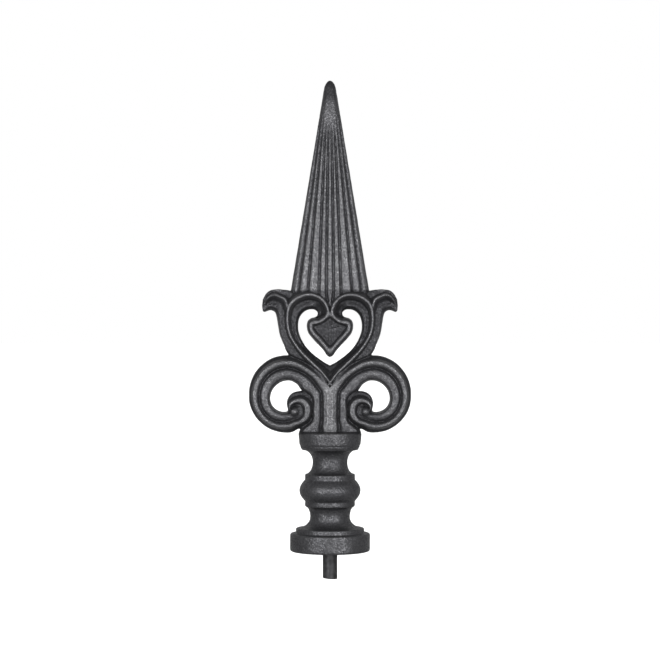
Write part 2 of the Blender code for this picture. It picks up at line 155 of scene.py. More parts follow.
# Unevenness of the pin: its drawn side, and its torn face
PIN_WAVE = 0.03 * MM
PIN_TEAR = 0.14 * MM

# Painted tone of the iron, between 0 for the darkest painted shade and 1 for the brightest
# painted highlight.
# Depths from the middle plane, and the tone at each of them: painted shade deep down, painted
# highlight on the beads
TONE_DEPTHS = (2.5 * MM, 6.4 * MM, 7.3 * MM, BEAD_DEPTH, 1.06 * BEAD_DEPTH)
DEPTH_PAINTED_TONES = (0.05, 0.17, 0.38, 0.59, 0.74)
# The turned baluster, which has one tone, and flanks that face less than a share towards the
# front or the back, which are lifted with painted light
PLAIN_TONE = 0.54
STEEP_PAINTED_FILL = 0.80
STEEP_STARTS = 0.80
STEEP_SPAN = 0.4
# The spear's depths are stretched to those of the beads, and less so on its unreeded tip
SPEAR_LIFT = 1.03
SPEAR_SIDE = 0.96
BARE_TIP_STARTS = 0.82
BARE_TIP_SPAN = 0.08
BARE_TIP_LOSS = 0.22
# How far a point stands out from the surface after few and after many rounds of evening it out
RELIEF_STEPS = 60
FINE_RELIEF_STEPS = RELIEF_STEPS // 5
FINE_RELIEF_WEIGHT = 0.5
RELIEF_HELD = 0.4
RELIEF_SPREAD = 0.6
RELIEF_RANGE = 9.0 * MM

# The photograph's frame: 660 pixels a side, level with the middle of the frame
FRAME_PIXELS = 660
PIXEL = 2 / 3 * MM
SEAT_ROW = 550.95
SENSOR_WIDTH = 36.0
CAMERA_DISTANCE = 1.33
CAMERA_HEIGHT = (SEAT_ROW - FRAME_PIXELS / 2) * PIXEL

# Floor and lights, in metres, degrees and watts
FLOOR = -0.15
FLOOR_REACH = 40.0
FLOOR_SUN = 4.0
PALE_COLOUR = (0.9, 0.9, 0.9)
PALE_ROUGHNESS = 0.9
LIGHT_AZIMUTH = 29
LIGHT_HEIGHT = 0.20
LIGHT_DISTANCE = 1.1
LIGHT_WIDTH = 0.4
LIGHT_TALL = 0.7
LIGHT_WATTS = 7.0
AMBIENT = 0.38

# Shares of the ornament's height, in hundredths, from the scroll's lowest point.
# A row is one station across a band: its outer edge x, z and its inner edge x, z.
# In a scroll row follow the places of the bead, the groove and the roll across the band, and
# how far the margin rises: 1 is flush with the bead.
TRUNK = (
    (-2.0, -2.4, 22.0, -2.4, 0.235, 0.335, 0.74, 1.0),
    (-2.0, 1.6, 20.9, 2.0, 0.25, 0.355, 0.72, 1.0),
    (-2.0, 7.8, 13.6, 7.8, 0.345, 0.51, 0.79, 1.0),
    (-2.0, 16.3, 12.6, 16.3, 0.36, 0.535, 0.82, 1.0),
    (-2.0, 23.4, 12.4, 23.4, 0.38, 0.555, 0.83, 1.0),
    (-1.8, 29.0, 15.8, 27.4, 0.32, 0.47, 0.72, 1.0),
    (1.6, 34.0, 19.8, 29.6, 0.22, 0.42, 0.69, 0.9),
    (5.3, 40.3, 21.3, 31.3, 0.25, 0.44, 0.71, 0.6),
    (12.0, 46.5, 23.0, 33.7, 0.28, 0.46, 0.72, 0.3),
)
SCROLL_CENTRE = (30.95, 26.1)
SCROLL_RADIUS = 26.4
SCROLL_RISE = 1.7
HOLE_CENTRE = (31.1, 25.3)
HOLE_RADIUS = 11.1
HOLE_SKEW = 0.65
SCROLL_SHARES = (0.29, 0.50, 0.75, 0.0)
# Degrees of the stations about the hole, and those from which the shares ease into the eye's
SCROLL_TURN = range(112, -100, -15)
SCROLL_LATE_STARTS = -60
SCROLL_LATE_SPAN = 50
EYE = (
    (22.6, 2.2, 28.4, 13.9, 0.36, 0.56, 0.80, -0.2),
    (17.0, 4.0, 27.0, 13.9, 0.38, 0.57, 0.80, -0.2),
    (11.3, 8.1, 25.6, 14.4, 0.42, 0.61, 0.83, -0.2),
    (8.8, 14.7, 24.7, 15.5, 0.475, 0.656, 0.864, -0.2),
    (9.3, 21.3, 24.8, 16.7, 0.51, 0.69, 0.88, -0.2),
    (13.5, 26.6, 25.3, 17.5, 0.54, 0.735, 0.90, -0.3),
    (18.4, 28.8, 26.0, 17.9, 0.63, 0.80, 0.92, -0.4),
    (23.4, 28.7, 26.7, 17.9, 0.74, 0.86, 0.94, -0.4),
    (27.4, 27.0, 27.3, 17.6, 0.80, 0.89, 0.95, -0.4),
    (29.9, 23.4, 27.7, 17.1, 0.82, 0.90, 0.96, -0.4),
    (30.4, 19.6, 27.9, 16.5, 0.82, 0.90, 0.96, -0.4),
    (29.9, 16.6, 28.0, 15.9, 0.82, 0.90, 0.96, -0.4),
)
# Shares across and up of the bulb's middle, and its radius
EYE_BULB = (25.1, 14.7, 4.9)
EYE_BULB_DEPTH = 8.3 * MM
HEART = (
    (-2.8, 29.7, -2.8, 44.9),
    (0.4, 35.2, 0.4, 47.2),
    (4.9, 41.4, 3.9, 49.1),
    (10.2, 46.7, 7.8, 51.8),
    (15.5, 51.7, 11.6, 54.7),
    (20.5, 56.8, 15.3, 58.3),
    (24.7, 62.4, 18.4, 62.2),
    (28.1, 68.6, 20.9, 66.9),
    (29.8, 75.3, 22.4, 71.8),
    (30.1, 82.7, 22.5, 77.1),
    (28.6, 89.4, 21.4, 81.3),
    (25.1, 93.5, 19.1, 84.5),
    (19.4, 96.4, 15.9, 86.4),
    (13.4, 97.2, 12.7, 86.8),
    (7.4, 95.2, 10.5, 86.3),
    (3.3, 91.2, 9.0, 85.1),
    (1.4, 86.3, 8.6, 83.7),
    (2.1, 82.4, 9.2, 82.0),
    (4.9, 79.0, 11.0, 81.0),
    (8.5, 77.3, 13.1, 80.5),
    (12.4, 76.5, 15.2, 79.0),
)
# Share by which the heart's slope reaches past its bead, and heights between which its lip grows
HEART_MARGIN = 3.2
LIP_STARTS = 58.0
LIP_FULL = 70.0
# In an ear row follow the ridge's place across, its rise and how far the inner edge thins
EAR = (
    (-2.4, 26.2, -2.4, 32.0, 0.90, 0.0, 0.0),
    (3.2, 36.1, 3.5, 38.9, 0.90, 0.0, 0.0),
    (9.5, 44.0, 8.8, 45.8, 0.90, 0.0, 0.0),
    (14.8, 47.7, 14.1, 50.7, 0.90, 0.0, 0.0),
    (21.2, 50.9, 19.4, 55.7, 0.90, 0.0, 0.0),
    (27.6, 53.4, 23.7, 60.8, 0.90, 0.0, 0.0),
    (30.8, 57.3, 26.5, 65.8, 0.90, 0.0, 0.0),
    (32.5, 61.5, 28.3, 70.0, 0.90, 0.0, 0.0),
    (35.5, 69.3, 29.0, 75.7, 0.90, 0.0, 0.0),
    (37.0, 77.8, 27.5, 83.0, 0.86, 0.3, 0.0),
    (37.7, 81.9, 26.0, 90.1, 0.66, 1.0, 1.0),
    (38.6, 84.4, 26.5, 98.8, 0.60, 1.0, 1.0),
    (39.9, 85.5, 34.1, 100.7, 0.68, 1.0, 1.0),
    (41.4, 86.1, 38.3, 100.7, 0.74, 1.0, 1.0),
    (42.8, 86.1, 42.3, 99.9, 0.70, 1.0, 1.0),
    (43.8, 85.8, 45.4, 97.3, 0.64, 0.7, 1.0),
    (44.8, 85.4, 47.3, 93.7, 0.60, 0.2, 1.0),
    (45.8, 85.0, 47.8, 89.4, 0.60, 0.0, 1.0),
    (46.3, 84.8, 47.4, 85.6, 0.60, 0.0, 1.0),
)
SPADE = (
    (-0.5, 87.0), (4.2, 83.4), (8.6, 80.6), (12.0, 80.6), (15.2, 78.9), (16.3, 75.3),
    (15.5, 70.7), (13.1, 67.2), (8.8, 62.5), (4.6, 57.8), (2.0, 54.0), (-0.5, 53.0),
)
SPADE_PANEL = (
    (-0.5, 80.6), (2.4, 78.4), (5.6, 76.2), (8.0, 75.4), (10.4, 74.8), (10.8, 74.2),
    (10.4, 73.0), (9.0, 71.2), (5.6, 67.6), (2.8, 64.2), (1.0, 62.2), (-0.5, 61.4),
)
SPADE_APEX = (0.0, 72.1)

# Shares of the spear's half width at which its grooves lie
REEDS_AT_ROOT = (0.093, 0.283, 0.566, 0.81)
REEDS_AT_TIP = (0.14, 0.385, 0.64, 0.82)
# The reeds run out at a share of the height, over a share below it
REEDS_END = 0.86
REEDS_FADE = 0.14
# How much of a reed's relief is its rounded back, and how much the groove beside it
REED_BACK = 0.35
REED_CUT = 0.65
REED_ROUNDNESS = 0.97
# The spear's foot behind the heart: shares of its width and its height
SPEAR_TAIL = ((1.0, -0.016), (0.74, -0.045), (0.55, -0.072))
TAIL_POWER = 5
# Heights of the spear's sections: even along the blade, close together at the nose
SPEAR_LEVELS = (*np.linspace(0.0, 0.94, 80), *np.linspace(0.943, 0.9995, 24))
SPEAR_EDGE_DEPTH = 0.28
BLADE_FULLNESS = 0.42


def collar_top():
    """Height of the collar's upper face above the seat."""
    return (DISC_HEIGHT + STEP_HEIGHT + LOWER_NECK_HEIGHT + 2 * FILLET_HEIGHT + BALL_HEIGHT
            + UPPER_NECK_HEIGHT + COLLAR_HEIGHT)


def clamped(value):
    """A number held between 0 and 1."""
    return min(1.0, max(0.0, value))


def ornament_point(x, z, depth):
    """A place on the ornament's front from its shares across and up, and its depth."""
    unit = ORNAMENT_HEIGHT / 100
    return (x * unit, -depth, collar_top() + z * unit)


class Shell:
    """Vertices and faces of closed solids that overlap, gathered for one remesh."""

    def __init__(self):
        self.vertices = []
        self.faces = []

    def add(self, vertices, faces, mirrored=False):
        """Adds a solid, or its mirror image to the left."""
        start = len(self.vertices)
        side = -1 if mirrored else 1
        self.vertices.extend((side * x, y, z) for x, y, z in vertices)
        for face in faces:
            self.faces.append(tuple(start + k for k in face))

    def add_pair(self, vertices, faces):
        """Adds a solid on both sides."""
        self.add(vertices, faces)
        self.add(vertices, faces, mirrored=True)


def both_faces(front):
    """A loop round a section: its front edge, and the same edge behind."""
    return front + [(x, -y, z) for x, y, z in reversed(front)]


def tube(loops):
    """Vertices and faces of a closed solid through loops of equal length."""
    vertices = [point for loop in loops for point in loop]
    width = len(loops[0])
    faces = [tuple(range(width)), tuple(range(len(vertices) - width, len(vertices)))]
    for start in range(0, len(vertices) - width, width):
        for k in range(width):
            a, b = start + k, start + (k + 1) % width
            faces.append((a, b, b + width, a + width))
    return vertices, faces


def spline(rows, spans_between):
    """A smooth curve through rows of numbers; spans_between says how finely to step."""
    rows = np.array(rows, dtype=float)
    padded = np.vstack((2 * rows[0] - rows[1], rows, 2 * rows[-1] - rows[-2]))
    points = []
    for a, b, c, d in zip(padded, padded[1:], padded[2:], padded[3:]):
        spans = spans_between(a, b, c, d)
        for t in np.arange(spans) / spans:
            linear = (c - a) * t
            square = (2 * a - 5 * b + 4 * c - d) * t ** 2
            cubic = (3 * b - a - 3 * c + d) * t ** 3
            points.append(0.5 * (2 * b + linear + square + cubic))
    points.append(rows[-1])
    return np.array(points)


def band_spans(a, b, c, d):
    """How many steps a span needs, by its turn and its length."""
    before = math.atan2(c[1] - a[1], c[0] - a[0])
    after = math.atan2(d[1] - b[1], d[0] - b[0])
    turn = abs(math.degrees(math.remainder(after - before, 2 * math.pi)))
    length = math.hypot(c[0] - b[0], c[1] - b[1])
    return 1 + int(max(turn / STATION_TURN, length / STATION_LENGTH))


def eased(keys, count):
    """Depth across a band between keys of share, depth and the shape of the span after."""
    shares = [key[0] for key in keys]
    result = []
    for share in np.linspace(shares[0], shares[-1], count):
        k = min(len(keys) - 2, max(0, int(np.searchsorted(shares, share)) - 1))
        start, depth, shape = keys[k]
        end, next_depth = keys[k + 1][0:2]
        t = (share - start) / (end - start)
        if shape == "soft":
            t = t * t * (3 - 2 * t)
        elif shape != "line":
            early = (shape == "full") == (next_depth > depth)
            t = math.sin(t * math.pi / 2) if early else 1 - math.cos(t * math.pi / 2)
        result.append((share, depth + (next_depth - depth) * t))
    return result


def band(rows, keys_of):
    """A band lofted along its stations, the same in front and behind."""
    loops = []
    for row in spline(rows, band_spans):
        outer = np.array(row[0:2])
        inner = np.array(row[2:4])
        across = eased(keys_of(row), SECTION_POINTS)
        front = []
        for share, depth in across:
            x, z = outer + (inner - outer) * share
            front.append(ornament_point(x, z, depth))
        loops.append(both_faces(front))
    return tube(loops)


def scroll_rows():
    """Stations of the whole scroll: trunk, turn about the hole, and eye."""
    turn = []
    for degrees in SCROLL_TURN:
        angle = math.radians(degrees)
        reach = SCROLL_RADIUS + SCROLL_RISE * max(0.0, math.sin(angle)) ** 2
        hole = HOLE_RADIUS - HOLE_SKEW * math.sin(2 * angle)
        late = max(0.0, (SCROLL_LATE_STARTS - degrees) / SCROLL_LATE_SPAN)
        shares = [a + (b - a) * late for a, b in zip(SCROLL_SHARES, EYE[0][4:8])]
        turn.append((
            SCROLL_CENTRE[0] + reach * math.cos(angle),
            SCROLL_CENTRE[1] + reach * math.sin(angle),
            HOLE_CENTRE[0] + hole * math.cos(angle),
            HOLE_CENTRE[1] + hole * math.sin(angle),
            *shares,
        ))
    return (*TRUNK, *turn, *EYE)


def scroll_keys(row):
    """Margin, bead, groove and roll across the scroll."""
    bead, groove, roll, rise = row[4:8]
    flush = max(0.0, rise)
    crown = TRUNK_CROWN * flush
    margin = MARGIN_DEPTH + (BEAD_DEPTH - MARGIN_DEPTH) * rise + crown
    edge = EDGE_DEPTH - SCROLL_EDGE_DROP
    edge += (margin - EDGE_DEPTH + SCROLL_EDGE_DROP) * flush
    dip = SCROLL_MARGIN_DIP * max(0.0, 1 - 2 * abs(rise))
    foot = BEAD_DEPTH - SCROLL_BEAD_FOOT + (SCROLL_BEAD_FOOT + 0.5 * crown) * flush
    trough = GROOVE_DEPTH + SCROLL_GROOVE_LIFT
    crest = ROLL_DEPTH - EYE_ROLL_SINK * max(0.0, -rise)
    return (
        (0.0, edge, "full"),
        (0.14 * bead, margin - dip, "soft"),
        (0.40 * bead, margin - 0.15 * crown - 0.4 * dip, "soft"),
        (0.75 * bead, foot, "line"),
        (bead, BEAD_DEPTH, "line"),
        (bead + 0.34 * (groove - bead), BEAD_DEPTH - SCROLL_BEAD_FALL, "soft"),
        (groove, trough, "full"),
        (groove + 0.52 * (roll - groove), crest - ROLL_SHOULDER, "line"),
        (roll, crest, "line"),
        (roll + 0.50 * (1 - roll), crest - ROLL_FALL, "full"),
        (1.0, EDGE_DEPTH - INNER_EDGE_DROP, "full"),
    )


def heart_keys(row):
    """Outer slope, bead, channel and lip across the heart."""
    span = math.hypot(row[2] - row[0], row[3] - row[1])
    margin = HEART_MARGIN / span
    bead = min(0.12, 0.55 / span)
    lip = clamped((row[1] - LIP_STARTS) / (LIP_FULL - LIP_STARTS))
    lip *= clamped((row[0] - 4) / 12)
    crest = BEAD_DEPTH + HEART_BEAD_LIFT * min(1.0, row[0] / 3)
    channel = MARGIN_DEPTH - HEART_CHANNEL_DROP - HEART_CHANNEL_SINK * lip
    return (
        (-margin, EDGE_DEPTH, "full"),
        (-0.90 * margin, MARGIN_DEPTH - HEART_SLOPE_DROP, "hollow"),
        (-bead, crest, "soft"),
        (bead, crest, "soft"),
        (0.40, channel, "soft"),
        (0.74, EDGE_DEPTH - HEART_INNER_DROP + LIP_HEIGHT * lip, "full"),
        (1.0, EDGE_DEPTH - HEART_EDGE_DROP, "full"),
    )


def ear_keys(row):
    """Gently hollow along the stalk; in the curl a ridge follows the upper edge."""
    place, rise, thin_edge = row[4:7]
    crest = EAR_DEPTH + EAR_RIDGE_HEIGHT * rise
    beyond = EAR_DEPTH - EAR_EDGE_SINK * thin_edge
    return (
        (0.0, EDGE_DEPTH - INNER_EDGE_DROP, "full"),
        (0.20, EAR_DEPTH, "soft"),
        (0.55 * place, EAR_DEPTH - EAR_HOLLOW * rise, "hollow"),
        (place - 0.03, crest, "soft"),
        (place + 0.03, crest, "full"),
        (place + 0.10, beyond, "soft"),
        (0.97, beyond, "full"),
        (1.0, beyond - (beyond - EDGE_DEPTH) * thin_edge, "full"),
    )


def spade_outline(corners):
    """A smooth outline through the corners of half a spade."""
    return spline(corners, lambda a, b, c, d: SPADE_SPANS)


def spade():
    """The hanging spade: outline, raised rim, sunken panel and four-sided point."""
    outer, upper, inner = SPADE_RIM_STEPS
    rings = (
        (0.0, EDGE_DEPTH - INNER_EDGE_DROP), (0.05, MARGIN_DEPTH - SPADE_EDGE_STEP),
        (0.16, BEAD_DEPTH - outer), (0.28, BEAD_DEPTH - upper),
        (0.42, BEAD_DEPTH), (0.60, BEAD_DEPTH), (0.74, BEAD_DEPTH - inner),
        (0.90, SPADE_PANEL_DEPTH), (1.0, SPADE_PANEL_DEPTH - SPADE_PANEL_STEP),
    )
    layers = []
    start = spade_outline(SPADE)
    panel = spade_outline(SPADE_PANEL)
    for share, depth in rings:
        outline = start + (panel - start) * share
        layers.append([ornament_point(x, z, depth) for x, z in outline])
    centre = ornament_point(*SPADE_APEX, SPADE_APEX_DEPTH)
    layers.append([centre] * len(layers[0]))
    back = [[(x, -y, z) for x, y, z in layer] for layer in layers]
    return tube(list(reversed(layers)) + back)


def blade_half_width(height):
    """The spear's half width at a share of its height, without the rounded nose."""
    return SPEAR_ROOT_HALF_WIDTH + (SPEAR_TIP_HALF_WIDTH - SPEAR_ROOT_HALF_WIDTH) * height


def blade_depth(height):
    """The spear's half depth at a share of its height, without the rounded nose."""
    return SPEAR_ROOT_DEPTH + (SPEAR_TIP_DEPTH - SPEAR_ROOT_DEPTH) * height


def spear_place(height):
    """Half width, half depth and reed relief of the spear at a share of its height."""
    half = blade_half_width(height)
    depth = blade_depth(height)
    nose = max(0.0, 1 - (1 - height) * SPEAR_HEIGHT / SPEAR_NOSE)
    rounding = math.sqrt(max(0.0, 1 - nose ** 2))
    fade = clamped((REEDS_END - height) / REEDS_FADE)
    relief = REED_RELIEF * fade * fade * (3 - 2 * fade)
    return half * rounding, min(depth, half) * rounding, relief


def reed_drop(share, height, half):
    """How far the surface sinks from the crest of the reed at a share of the half width."""
    grooves = [root + (tip - root) * height for root, tip in zip(REEDS_AT_ROOT, REEDS_AT_TIP)]
    marks = [-1.0, *(-groove for groove in reversed(grooves)), *grooves, 1.0]
    k = min(len(marks) - 2, max(0, int(np.searchsorted(marks, share)) - 1))
    across = 2 * (share - marks[k]) / (marks[k + 1] - marks[k]) - 1
    if k in (0, len(marks) - 2):
        across = min(0.0, across if k else -across)
    nearest = min(abs(share - mark) for mark in marks[1:-1]) * half
    cut = math.exp(-(nearest / REED_GROOVE) ** 2)
    back = 1 - math.sqrt(max(0.0, 1 - REED_ROUNDNESS * across ** 2))
    return REED_BACK * back + REED_CUT * cut


def spear():
    """The reeded blade from its foot behind the heart to its rounded nose."""
    base = collar_top() + ORNAMENT_HEIGHT
    levels = []
    for share, drop in reversed(SPEAR_TAIL):
        half, depth, relief = spear_place(0.0)
        fullness = BLADE_FULLNESS / share ** TAIL_POWER
        z = base + drop * SPEAR_HEIGHT
        levels.append((0.0, half * share, depth, relief, fullness, z))
    for height in SPEAR_LEVELS:
        z = base + height * SPEAR_HEIGHT
        levels.append((height, *spear_place(height), BLADE_FULLNESS, z))
    loops = []
    for height, half, depth, relief, fullness, z in levels:
        front = []
        for angle in np.linspace(-math.pi / 2, math.pi / 2, SPEAR_POINTS):
            share = math.sin(angle)
            swell = (1 - share ** 2) ** fullness
            sink = relief * reed_drop(share, height, half)
            y = max(SPEAR_EDGE_DEPTH * depth, depth * swell - sink)
            front.append((share * half, -y, z))
        loops.append(both_faces(front))
    return tube(loops)


def bulb():
    """The rounded end of the roll in the scroll's eye."""
    x, z, radius = EYE_BULB
    unit = ORNAMENT_HEIGHT / 100
    middle = Vector(ornament_point(x, z, 0.0))
    loops = []
    for polar in np.linspace(0.05, math.pi - 0.05, BULB_LOOPS):
        loop = []
        for turn in np.linspace(0, 2 * math.pi, BULB_SIDES + 1)[:-1]:
            loop.append((middle.x + radius * unit * math.sin(polar) * math.cos(turn),
                         middle.y - EYE_BULB_DEPTH * math.cos(polar),
                         middle.z + radius * unit * math.sin(polar) * math.sin(turn)))
        loops.append(loop)
    return tube(loops)


def rounded(radius, top, bottom, rounding):
    """A turned edge, rounded where it meets the face above and the face below."""
    points = []
    for k in range(ROUNDING_STEPS + 1):
        angle = math.radians(90 - 90 * k / ROUNDING_STEPS)
        points.append((radius - rounding + rounding * math.cos(angle),
                       top - rounding + rounding * math.sin(angle)))
    for k in range(ROUNDING_STEPS + 1):
        angle = math.radians(-90 * k / ROUNDING_STEPS)
        points.append((radius - rounding + rounding * math.cos(angle),
                       bottom + rounding + rounding * math.sin(angle)))
    return points


def tapered(radius, taper, top, bottom, rounding):
    """A turned edge like rounded, drawn in towards its foot."""
    points = rounded(radius, top, bottom, rounding)
    half = len(points) // 2
    return points[:half] + [(r - taper, z) for r, z in points[half:]]


def scotia(throat, above, below, flare_above, flare_below):
    """A hollow neck: two quarter curves that meet at its throat."""
    middle = (above + below) / 2
    points = []
    for k in range(SCOTIA_STEPS + 1):
        angle = math.radians(90 - 90 * k / SCOTIA_STEPS)
        points.append((throat + flare_above * (1 - math.cos(angle)),
                       middle + (above - middle) * math.sin(angle)))
    for k in range(1, SCOTIA_STEPS + 1):
        angle = math.radians(90 * k / SCOTIA_STEPS)
        points.append((throat + flare_below * (1 - math.cos(angle)),
                       middle - (middle - below) * math.sin(angle)))
    return points


def baluster():
    """The turned base with the pin's bore, from the middle of its top down."""
    top = collar_top()
    collar_foot = top - COLLAR_HEIGHT
    fillet_top = collar_foot - UPPER_NECK_HEIGHT
    ball_top = fillet_top - FILLET_HEIGHT
    ball_foot = ball_top - BALL_HEIGHT
    fillet_foot = ball_foot - FILLET_HEIGHT
    step_top = DISC_HEIGHT + STEP_HEIGHT
    band_foot = collar_foot + COLLAR_FOOT_HEIGHT
    profile = [(0.0, top)]
    profile += tapered(COLLAR_RADIUS, COLLAR_TAPER, top, band_foot, COLLAR_ROUNDING)
    profile += tapered(COLLAR_FOOT_RADIUS, COLLAR_FOOT_TAPER, band_foot, collar_foot,
                       EDGE_ROUNDING)
    profile += scotia(UPPER_NECK_RADIUS, collar_foot, fillet_top, COLLAR_FLARE,
                      UPPER_NECK_FLARE)
    profile += rounded(FILLET_RADIUS, fillet_top, ball_top, EDGE_ROUNDING)
    for k in range(1, BALL_STEPS):
        angle = math.radians(90 - 180 * k / BALL_STEPS)
        profile.append((FILLET_RADIUS + (BALL_RADIUS - FILLET_RADIUS) * math.cos(angle) ** 2,
                        (ball_top + ball_foot) / 2 + BALL_HEIGHT / 2 * math.sin(angle)))
    profile += rounded(FILLET_RADIUS, ball_foot, fillet_foot, EDGE_ROUNDING)
    profile += scotia(LOWER_NECK_RADIUS, fillet_foot, step_top, LOWER_NECK_FLARE, FOOT_FLARE)
    profile += rounded(STEP_RADIUS, step_top, DISC_HEIGHT, EDGE_ROUNDING)
    profile += rounded(DISC_RADIUS, DISC_HEIGHT, 0.0, DISC_ROUNDING)
    bore = PIN_RADIUS + PIN_CLEARANCE
    profile += [(bore, 0.0), (bore, PIN_TOP + PIN_CLEARANCE), (0.0, PIN_TOP + PIN_CLEARANCE)]
    return turned(profile)


def turned(profile):
    """A closed solid of revolution from a profile that starts and ends on the axis."""
    sides = TURNED_SIDES
    ring = profile[1:-1]
    vertices = [(0.0, 0.0, profile[0][1])]
    for r, z in ring:
        for k in range(sides):
            angle = 2 * math.pi * k / sides
            vertices.append((r * math.cos(angle), r * math.sin(angle), z))
    vertices.append((0.0, 0.0, profile[-1][1]))
    faces = []
    for k in range(sides):
        after = (k + 1) % sides
        faces.append((0, 1 + k, 1 + after))
        for j in range(len(ring) - 1):
            a = 1 + j * sides
            b = a + sides
            faces.append((a + k, b + k, b + after, a + after))
        last = 1 + (len(ring) - 1) * sides
        faces.append((last + k, len(vertices) - 1, last + after))
    return vertices, faces


def mesh_object(name, vertices, faces):
    """A welded object with its faces turned outward."""
    mesh = bpy.data.meshes.new(name)
    mesh.from_pydata([tuple(v) for v in vertices], [], faces)
    obj = bpy.data.objects.new(name, mesh)
    bpy.context.collection.objects.link(obj)
    bm = bmesh.new()
    bm.from_mesh(mesh)
    bmesh.ops.remove_doubles(bm, verts=bm.verts, dist=WELD_DISTANCE)
    bmesh.ops.recalc_face_normals(bm, faces=bm.faces)
    bm.to_mesh(mesh)
    bm.free()
    return obj


def apply_modifiers(obj):
    """Turns the modifiers of an object into its mesh."""
    depsgraph = bpy.context.evaluated_depsgraph_get()
    mesh = bpy.data.meshes.new_from_object(obj.evaluated_get(depsgraph))
    obj.modifiers.clear()
    obj.data = mesh


def fuse(obj):
    """Turns the overlapping solids into one skin, softened as sand moulding softens it."""
    remesh = obj.modifiers.new("fuse", "REMESH")
    remesh.mode = "VOXEL"
    remesh.voxel_size = VOXEL
    remesh.adaptivity = 0.0
    smooth = obj.modifiers.new("soften", "SMOOTH")
    smooth.factor = SOFTEN_FACTOR
    smooth.iterations = SOFTEN_TIMES
    apply_modifiers(obj)


def read_vertices(mesh, name):
    """The places or the normals of all vertices, a row for each."""
    values = np.empty(len(mesh.vertices) * 3)
    mesh.vertices.foreach_get(name, values)
    return values.reshape(-1, 3)


def move_vertices(mesh, places):
    """Puts every vertex at its row's place."""
    mesh.vertices.foreach_set("co", places.reshape(-1))
    mesh.update()


def roughen(obj):
    """Slight waviness, lumps and grain of a sand casting."""
    places = read_vertices(obj.data, "co")
    normals = read_vertices(obj.data, "normal")
    shift = np.full(len(places), SKIN_GROWTH)
    for k, place in enumerate(places):
        for frequency, height in UNEVENNESS:
            shift[k] += height * noise.noise(Vector(place * frequency))
    places += normals * (shift * MM)[:, None]
    move_vertices(obj.data, places)


def thin(obj):
    """Brings the mesh down to the number of triangles that it may have."""
    obj.data.calc_loop_triangles()
    count = len(obj.data.loop_triangles)
    if count > TRIANGLES:
        modifier = obj.modifiers.new("thin", "DECIMATE")
        modifier.ratio = TRIANGLES / count
        apply_modifiers(obj)


def keep_inside(obj):
    """Keeps every point within the solid's own box."""
    places = read_vertices(obj.data, "co")
    move_vertices(obj.data, np.clip(places, CASTING_BOX[0], CASTING_BOX[1]))


def depth_shade_and_highlight(places):
    """Painted shade and highlight of each point by how far out it lies: darkest in the deepest
    hollow, lightest on the highest bead.
    """
    height = (places[:, 2] - collar_top() - ORNAMENT_HEIGHT) / SPEAR_HEIGHT
    share = np.clip(np.abs(places[:, 0]) / blade_half_width(height), 0.0, SPEAR_SIDE)
    blade = blade_depth(np.clip(height, 0.0, 1.0)) * (1 - share ** 2) ** BLADE_FULLNESS
    bare_tip = np.clip((height - BARE_TIP_STARTS) / BARE_TIP_SPAN, 0.0, 1.0)
    stretch = SPEAR_LIFT * BEAD_DEPTH / blade * (1 - BARE_TIP_LOSS * bare_tip)
    scale = np.where(height > 0.0, stretch, 1.0)
    return np.interp(np.abs(places[:, 1]) * scale, TONE_DEPTHS, DEPTH_PAINTED_TONES)


def mark_painted_shade(obj):
    """Stores a painted shade and highlight for each point, from its depth, how far it stands out
    from the surface
    around it, and how steep it is: hollows and creases darker, beads and steep flanks lighter.
    The plain baluster has one tone."""
    mesh = obj.data
    count = len(mesh.vertices)
    places = read_vertices(mesh, "co")
    normals = read_vertices(mesh, "normal")
    edges = np.empty(len(mesh.edges) * 2, dtype=np.int64)
    mesh.edges.foreach_get("vertices", edges)
    first, second = edges.reshape(-1, 2).T
    degree = np.bincount(first, minlength=count) + np.bincount(second, minlength=count)
    smooth = places.copy()
    relief = np.zeros(count)
    for step in range(1, RELIEF_STEPS + 1):
        total = np.empty_like(smooth)
        for axis in range(3):
            total[:, axis] = (np.bincount(first, smooth[second, axis], count)
                              + np.bincount(second, smooth[first, axis], count))
        smooth = RELIEF_HELD * smooth + RELIEF_SPREAD * total / degree[:, None]
        if step == FINE_RELIEF_STEPS:
            relief += FINE_RELIEF_WEIGHT * np.einsum("ij,ij->i", places - smooth, normals)
    relief += np.einsum("ij,ij->i", places - smooth, normals)
    carved = np.clip((places[:, 2] - collar_top()) / MM, 0.0, 1.0)
    # Painted shade by depth, plus painted shade in creases and painted highlight where a point
    # stands out
    values = depth_shade_and_highlight(places) + relief / RELIEF_RANGE
    # Steep flanks are lifted with painted light towards a set tone
    steep = np.clip((STEEP_STARTS - np.abs(normals[:, 1])) / STEEP_SPAN, 0.0, 1.0)
    values += steep * np.maximum(0.0, STEEP_PAINTED_FILL - values)
    values = PLAIN_TONE + carved * (values - PLAIN_TONE)
    values = np.clip(values, 0.0, 1.0)
    attribute = mesh.attributes.new("relief", "FLOAT", "POINT")
    attribute.data.foreach_set("value", values.astype(np.float32))


def casting():
    """Everything that was poured as one: ornament, spear and baluster."""
    shell = Shell()
    shell.add_pair(*band(scroll_rows(), scroll_keys))
    shell.add_pair(*band(EAR, ear_keys))
    shell.add_pair(*band(HEART, heart_keys))
    shell.add_pair(*spade())
    shell.add_pair(*bulb())
    shell.add(*spear())
    shell.add(*baluster())
    obj = mesh_object("casting_skin", shell.vertices, shell.faces)
    fuse(obj)
    roughen(obj)
    thin(obj)
    keep_inside(obj)
    mark_painted_shade(obj)
    obj.data.shade_smooth()
    obj.data.materials.append(cast_iron())
    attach(obj, "root")
    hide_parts("finial_casting")


